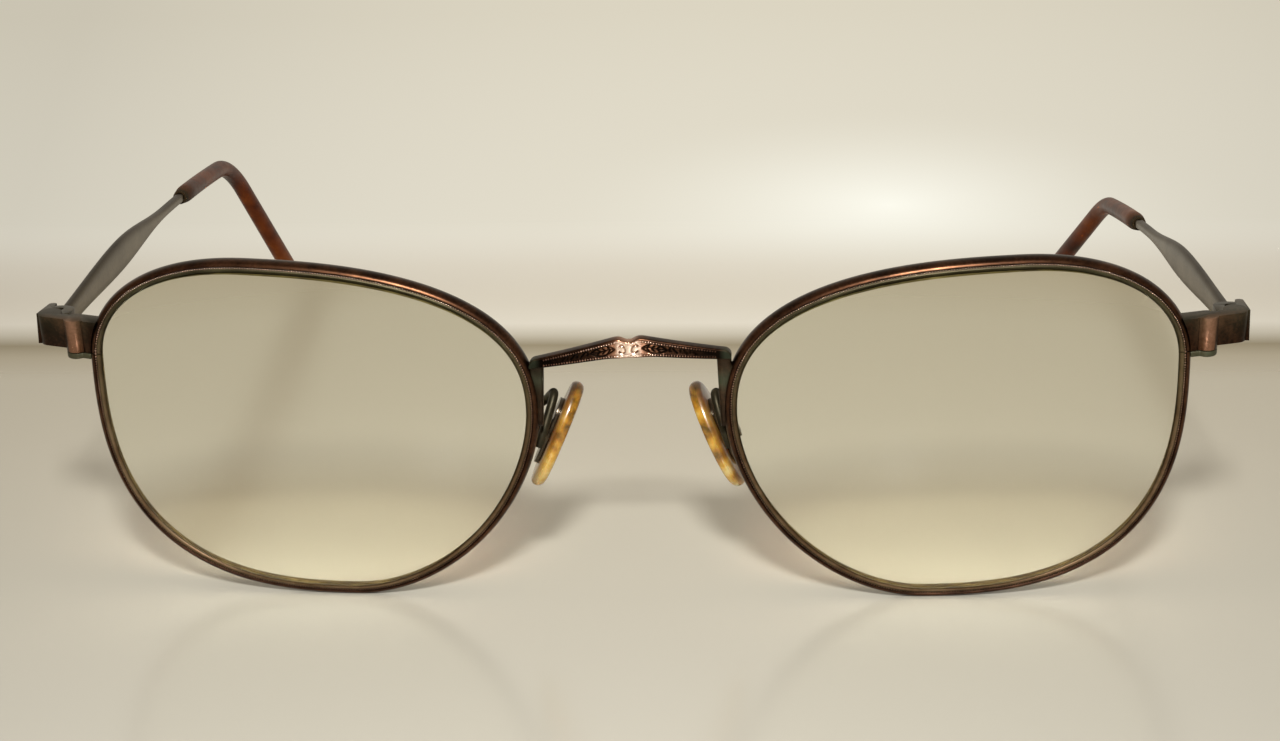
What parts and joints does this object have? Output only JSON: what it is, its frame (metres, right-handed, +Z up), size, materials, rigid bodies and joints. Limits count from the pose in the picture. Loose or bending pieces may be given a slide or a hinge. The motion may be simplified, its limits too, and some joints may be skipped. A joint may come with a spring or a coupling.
{
  "type": "full-rim wire eyeglasses",
  "caption": "Antique copper wire eyeglasses with an engraved bridge, clear plus lenses, amber nose pads and folding temples with tortoise tips.",
  "frame": {"origin": "on the table under the middle of the object, halfway between front and back", "axes": "+X to the right seen from the front, the front looks along -Y, +Z up"},
  "size_m": [0.1364, 0.14, 0.0401],
  "materials": {
    "frame_metal": "antiqued copper plate, worn and polished on the edges",
    "temple_metal": "antiqued plate worn to a grey brown",
    "fittings_steel": "darkened, satin",
    "lens_glass": "clear with a faint yellow tint",
    "tip_plastic": "polished tortoise acetate",
    "pad_plastic": "aged amber, polished"
  },
  "bodies": {
    "front": {"bridge": "frame_metal", "left_rim": "frame_metal", "left_lens": "lens_glass", "left_endpiece": "frame_metal", "left_closing_block": "frame_metal", "left_rim_screw": "fittings_steel", "left_hinge_screw": "fittings_steel", "left_pad_arm": "frame_metal", "left_pad_box": "fittings_steel", "left_pad_screw": "fittings_steel", "right_rim": "frame_metal", "right_lens": "lens_glass", "right_endpiece": "frame_metal", "right_closing_block": "frame_metal", "right_rim_screw": "fittings_steel", "right_hinge_screw": "fittings_steel", "right_pad_arm": "frame_metal", "right_pad_box": "fittings_steel", "right_pad_screw": "fittings_steel"},
    "left_temple_arm": {"left_hinge_eye": "temple_metal", "left_temple": "temple_metal", "left_temple_tip": "tip_plastic"},
    "left_pad": {"left_pad_plate": "fittings_steel", "left_nose_pad": "pad_plastic"},
    "right_temple_arm": {"right_hinge_eye": "temple_metal", "right_temple": "temple_metal", "right_temple_tip": "tip_plastic"},
    "right_pad": {"right_pad_plate": "fittings_steel", "right_nose_pad": "pad_plastic"}
  },
  "joints": [
    {"name": "left_temple_hinge", "type": "hinge", "parent": "front", "child": "left_temple_arm", "pos_m": [-0.06361, -0.05966, 0.03094], "axis": [0, 0, -1], "range_deg": [0, 82]},
    {"name": "left_pad_rock", "type": "hinge", "parent": "front", "child": "left_pad", "pos_m": [-0.00977, -0.05918, 0.01887], "axis": [-0.0698, 0.9976, 0], "range_deg": [-10, 10]},
    {"name": "right_temple_hinge", "type": "hinge", "parent": "front", "child": "right_temple_arm", "pos_m": [0.06644, -0.05966, 0.03094], "axis": [0, 0, 1], "range_deg": [0, 82]},
    {"name": "right_pad_rock", "type": "hinge", "parent": "front", "child": "right_pad", "pos_m": [0.0126, -0.05918, 0.01887], "axis": [0.0698, 0.9976, 0], "range_deg": [-10, 10]}
  ]
}
